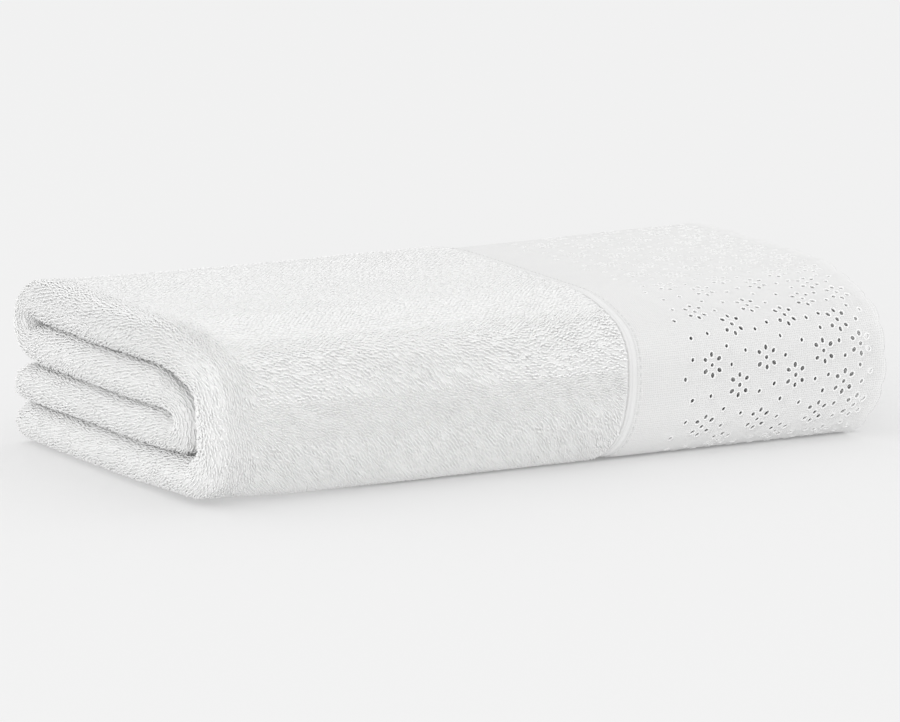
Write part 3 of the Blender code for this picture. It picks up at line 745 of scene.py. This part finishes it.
def border_mesh():
    """The flat triangles doubled into an outer and an inner face and walled round every edge."""
    sheet, rise, overcast, faces = border_sheet()
    swell = border_swell(sheet[:, 0], sheet[:, 1])
    outer = border_at(sheet[:, 0], sheet[:, 1], CLOTH_HALF + rise + swell)
    inner = border_at(sheet[:, 0], sheet[:, 1], swell - CLOTH_HALF)
    rim = boundary_edges(faces)
    count = len(sheet)
    walls = np.stack([rim[:, 1], rim[:, 0], rim[:, 0] + count, rim[:, 1] + count], -1)
    triangles = np.concatenate([faces, faces[:, ::-1] + count])
    return np.concatenate([outer, inner]), [triangles, walls], np.tile(sheet, (2, 1)), np.tile(overcast, 2)


# Painted shade of the woven border and the seam tape by height: darkest through the middle of the folded height,
# lighter at the floor and the top.
WOVEN_PAINTED_SHADE = (
    (0.0, 0.97), (0.17, 0.92), (0.36, 0.87), (0.60, 0.87), (0.81, 0.88), (0.92, 0.925), (1.0, 0.96),
)


def woven_cotton(name, colour, stitch_colour, yarn):
    """Plain weave: warp and weft waves of the cloth's own coordinates, as bump and as a faint darker gap; the
    overcast stitches round the eyelets and the edge are closer and whiter."""
    material = cotton(name, colour, roughness=0.85, bump_scale=1500, bump_height=0.12 * MM, sheen=0.08,
                      painted_shade=WOVEN_PAINTED_SHADE)
    nodes, link = material.node_tree.nodes, material.node_tree.links.new
    shader = nodes["Principled BSDF"]
    fibre_bump = shader.inputs["Normal"].links[0].from_socket
    plain_white = shader.inputs["Base Color"].links[0].from_socket

    flat = add_node(nodes, "ShaderNodeUVMap", {"uv_map": "cloth"}, {})
    crossing = add_node(nodes, "ShaderNodeMath", {"operation": "MULTIPLY"}, {})
    for number, direction in enumerate("XY"):
        wave = add_node(nodes, "ShaderNodeTexWave", {"wave_type": "BANDS", "bands_direction": direction},
                        {"Scale": 2 * np.pi / yarn / 20, "Distortion": 3.0, "Detail": 2, "Detail Scale": 2.0})
        link(flat.outputs["UV"], wave.inputs["Vector"])
        link(wave.outputs["Fac"], crossing.inputs[number])
    bump = add_node(nodes, "ShaderNodeBump", {}, {"Strength": 0.9, "Distance": 0.12 * MM})
    link(crossing.outputs[0], bump.inputs["Height"])
    link(fibre_bump, bump.inputs["Normal"])
    link(bump.outputs["Normal"], shader.inputs["Normal"])

    gap = add_node(nodes, "ShaderNodeMix", {"data_type": "RGBA", "blend_type": "MULTIPLY"},
                   {"B": (0.9, 0.9, 0.9, 1)})
    link(crossing.outputs[0], gap.inputs["Factor"])
    link(plain_white, gap.inputs["A"])
    overcast = add_node(nodes, "ShaderNodeAttribute", {"attribute_name": "overcast"}, {})
    whiter = add_node(nodes, "ShaderNodeMix", {"data_type": "RGBA"}, {"B": (*stitch_colour, 1)})
    link(overcast.outputs["Fac"], whiter.inputs["Factor"])
    link(gap.outputs["Result"], whiter.inputs["A"])
    link(whiter.outputs["Result"], shader.inputs["Base Color"])
    return material


lace_white = woven_cotton("white_plain_weave", (0.87, 0.87, 0.867), stitch_colour=(0.93, 0.93, 0.927),
                          yarn=0.7 * MM)
lace_points, lace_faces, lace_uv, lace_overcast = border_mesh()
lace = new_piece("eyelet_border", lace_points, lace_faces, lace_white, "white_woven_cotton", lace_uv)
stitched_share = lace.data.attributes.new("overcast", "FLOAT", "POINT")
stitched_share.data.foreach_set("value", lace_overcast.astype(np.float32))
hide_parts("lace_border")

# ---- Seam rib and stitches ---------------------------------------------------------------------------
# A narrow tape is laid over the join of terry and border and sewn down, so it stands up as a smooth rib. A row
# of lockstitches runs beside it on the border.

RIB_FROM, RIB_TO = 0.6 * MM, 3.5 * MM
RIB_HEIGHT = 0.72 * MM
RIB_FOOT = CLOTH_HALF - 0.1 * MM
RIB_STEPS = 17
GROOVE_DEPTH, GROOVE_WIDTH = 0.75, 0.14
STITCH_X = 4.8 * MM
STITCH_STEP = 2.4 * MM
STITCH_LENGTH = 1.75 * MM
STITCH_STEPS = 7
STITCH_RISE, STITCH_SUNK = 0.16 * MM, 0.06 * MM
THREAD_RADIUS = 0.17 * MM
THREAD_AROUND = np.radians([45, 135, 225, 315])


def tube_faces(rings, around):
    """Quads between each ring of points and the next, and the two end faces."""
    index = np.arange(rings * around).reshape(rings, around)
    ahead = np.roll(index, -1, 1)
    sides = np.stack([index[:-1], ahead[:-1], ahead[1:], index[1:]], -1).reshape(-1, 4)
    return [sides, index[:1, ::-1], index[-1:]]


def rib_mesh():
    """One cross-section carried along the whole seam: flat below, above it a half ellipse, fuller at its sides,
    with a bell-shaped groove in its middle."""
    t = np.linspace(0, 1, RIB_STEPS)
    x = RIB_FROM + (RIB_TO - RIB_FROM) * (1 - np.cos(np.pi * t)) / 2
    groove = 1 - GROOVE_DEPTH * bell(t - 0.5, GROOVE_WIDTH)
    top = RIB_FOOT + RIB_HEIGHT * np.sin(np.pi * t) ** 0.7 * groove
    x, top = np.append(x, x[-2:0:-1]), np.append(top, np.full(RIB_STEPS - 2, RIB_FOOT))
    u = np.interp(STACK.stations(longest_run=2.5 * MM, widest_turn=8), BORDER_PLACES, BORDER_DISTANCES)
    x, u, top = np.broadcast_arrays(x[None], u[:, None], top[None])
    return border_at(x, u, top), tube_faces(*x.shape), np.stack([x, u], -1)


tape_white = cotton("white_tape_cotton", (0.85, 0.85, 0.847), roughness=0.9, bump_scale=3500,
                    bump_height=0.05 * MM, sheen=0.1, painted_shade=WOVEN_PAINTED_SHADE)
rib_points, rib_faces, rib_uv = rib_mesh()
rib = new_piece("seam_tape", rib_points, rib_faces, tape_white, "white_tape", rib_uv)
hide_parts("seam_rib")


def stitch_mesh():
    """Short stitches along the seam: four-sided tubes that rise by a half sine and dip into the cloth at both
    ends."""
    t = np.linspace(0, 1, STITCH_STEPS)[:, None]
    radius = THREAD_RADIUS * np.sin(np.pi * np.clip(t, 0.12, 0.88)) ** 0.4
    up = CLOTH_HALF + STITCH_RISE * np.sin(np.pi * t) - STITCH_SUNK + radius * np.sin(THREAD_AROUND)
    x = STITCH_X + radius * np.cos(THREAD_AROUND)
    middle = np.arange(STITCH_STEP / 2, BORDER_RUN - STITCH_STEP / 3, STITCH_STEP)[:, None, None]
    x, u, up = np.broadcast_arrays(x, middle + STITCH_LENGTH * (t - 0.5), up)
    faces = np.concatenate(tube_faces(*up.shape[1:]))
    offset = up[0].size * np.arange(len(middle))[:, None, None]
    return border_at(x, u, up), (faces + offset).reshape(-1, 4)


stitches = new_piece("seam_stitches", *stitch_mesh(), tape_white, "white_tape")

# ---- Floor, light and camera -------------------------------------------------------------------------
# A plain pale floor under soft light from all sides with a little more from the left, and a far camera that
# looks at the towel from its left end. The floor glows evenly, and a painted shadow halves that glow under the
# towel, where it rests.

FLOOR_HALF = 12.0
FLOOR_GREY = 0.505
FLOOR_GLOW = 0.335
PAINTED_SHADOW_UNDER_TOWEL = (
    # axis, place where the floor is open, place where it is fully in the painted shadow under the towel
    ("X", -80 * MM, -40 * MM), ("X", 121 * MM, 116 * MM), ("Y", -53.5 * MM, -49 * MM), ("Y", 66 * MM, 60 * MM),
)

floor_mesh = bpy.data.meshes.new("floor")
floor_mesh.from_pydata([(x * FLOOR_HALF, y * FLOOR_HALF, 0) for x, y in ((-1, -1), (1, -1), (1, 1), (-1, 1))],
                       [], [(0, 1, 2, 3)])
floor = bpy.data.objects.new("floor", floor_mesh)
bpy.context.scene.collection.objects.link(floor)
floor_paper = bpy.data.materials.new("pale_floor")
floor_paper.use_nodes = True
paper_nodes, paper_link = floor_paper.node_tree.nodes, floor_paper.node_tree.links.new
paper = paper_nodes["Principled BSDF"]
paper.inputs["Base Color"].default_value = (FLOOR_GREY, FLOOR_GREY, FLOOR_GREY, 1)
paper.inputs["Roughness"].default_value = 1.0
paper.inputs["Specular IOR Level"].default_value = 0.0
paper.inputs["Emission Strength"].default_value = FLOOR_GLOW
spot = paper_nodes.new("ShaderNodeSeparateXYZ")
paper_link(paper_nodes.new("ShaderNodeTexCoord").outputs["Object"], spot.inputs[0])
# Painted shadow: a soft-edged box under the towel, from these ranges, mixes the floor's glow from white down to
# half grey.
sides = []
for axis, outside, inside in PAINTED_SHADOW_UNDER_TOWEL:
    side = add_node(paper_nodes, "ShaderNodeMapRange", {"interpolation_type": "SMOOTHSTEP"},
                    {"From Min": outside, "From Max": inside})
    paper_link(spot.outputs[axis], side.inputs["Value"])
    sides.append(side.outputs["Result"])
under = sides[0]
for side in sides[1:]:
    both = add_node(paper_nodes, "ShaderNodeMath", {"operation": "MULTIPLY"}, {})
    paper_link(under, both.inputs[0])
    paper_link(side, both.inputs[1])
    under = both.outputs[0]
glow_with_painted_shadow = add_node(paper_nodes, "ShaderNodeMix", {"data_type": "RGBA"},
                {"A": (1, 1, 1, 1), "B": (0.5, 0.5, 0.5, 1)})
paper_link(under, glow_with_painted_shadow.inputs["Factor"])
paper_link(glow_with_painted_shadow.outputs["Result"], paper.inputs["Emission Color"])
floor_mesh.materials.append(floor_paper)

SKY_STRENGTH = 1.07
world = bpy.data.worlds.new("studio")
bpy.context.scene.world = world
world.use_nodes = True
sky = world.node_tree.nodes["Background"]
sky.inputs["Color"].default_value = (1, 1, 1, 1)
sky.inputs["Strength"].default_value = SKY_STRENGTH


def soft_light(name, place, target, size, power):
    """A square area lamp turned from its place towards its target."""
    lamp = bpy.data.lights.new(name, "AREA")
    lamp.size = size
    lamp.energy = power
    light = bpy.data.objects.new(name, lamp)
    bpy.context.scene.collection.objects.link(light)
    light.location = place
    direction = np.subtract(target, place)
    light.rotation_euler = (np.arctan2(np.hypot(*direction[:2]), -direction[2]), 0,
                            np.arctan2(direction[0], -direction[1]) + np.pi)


soft_light("left_fill", place=(-1.7, -2.3, 0.35), target=(0, 0, 0), size=0.6, power=16.5)

VIEW_AZIMUTH, VIEW_HEIGHT = np.radians(29.08), np.radians(10.94)
VIEW_DISTANCE = 12 * FOLDED_LENGTH
PIXELS_PER_METRE = 3203
PICTURE_WIDTH = 900
SENSOR_WIDTH = 36
AIM = np.array([0.35 * MM, -0.13 * MM, 25.1 * MM])
camera_data = bpy.data.cameras.new("camera")
camera = bpy.data.objects.new("camera", camera_data)
bpy.context.scene.collection.objects.link(camera)
camera_data.sensor_width = SENSOR_WIDTH
camera_data.lens = SENSOR_WIDTH * PIXELS_PER_METRE * VIEW_DISTANCE / PICTURE_WIDTH
camera_data.clip_end = 60
backward = np.array([-np.sin(VIEW_AZIMUTH) * np.cos(VIEW_HEIGHT), -np.cos(VIEW_AZIMUTH) * np.cos(VIEW_HEIGHT),
                     np.sin(VIEW_HEIGHT)])
camera.location = AIM + VIEW_DISTANCE * backward
camera.rotation_euler = (np.pi / 2 - VIEW_HEIGHT, 0, -VIEW_AZIMUTH)
bpy.context.scene.camera = camera
bpy.context.scene.view_settings.view_transform = "Standard"
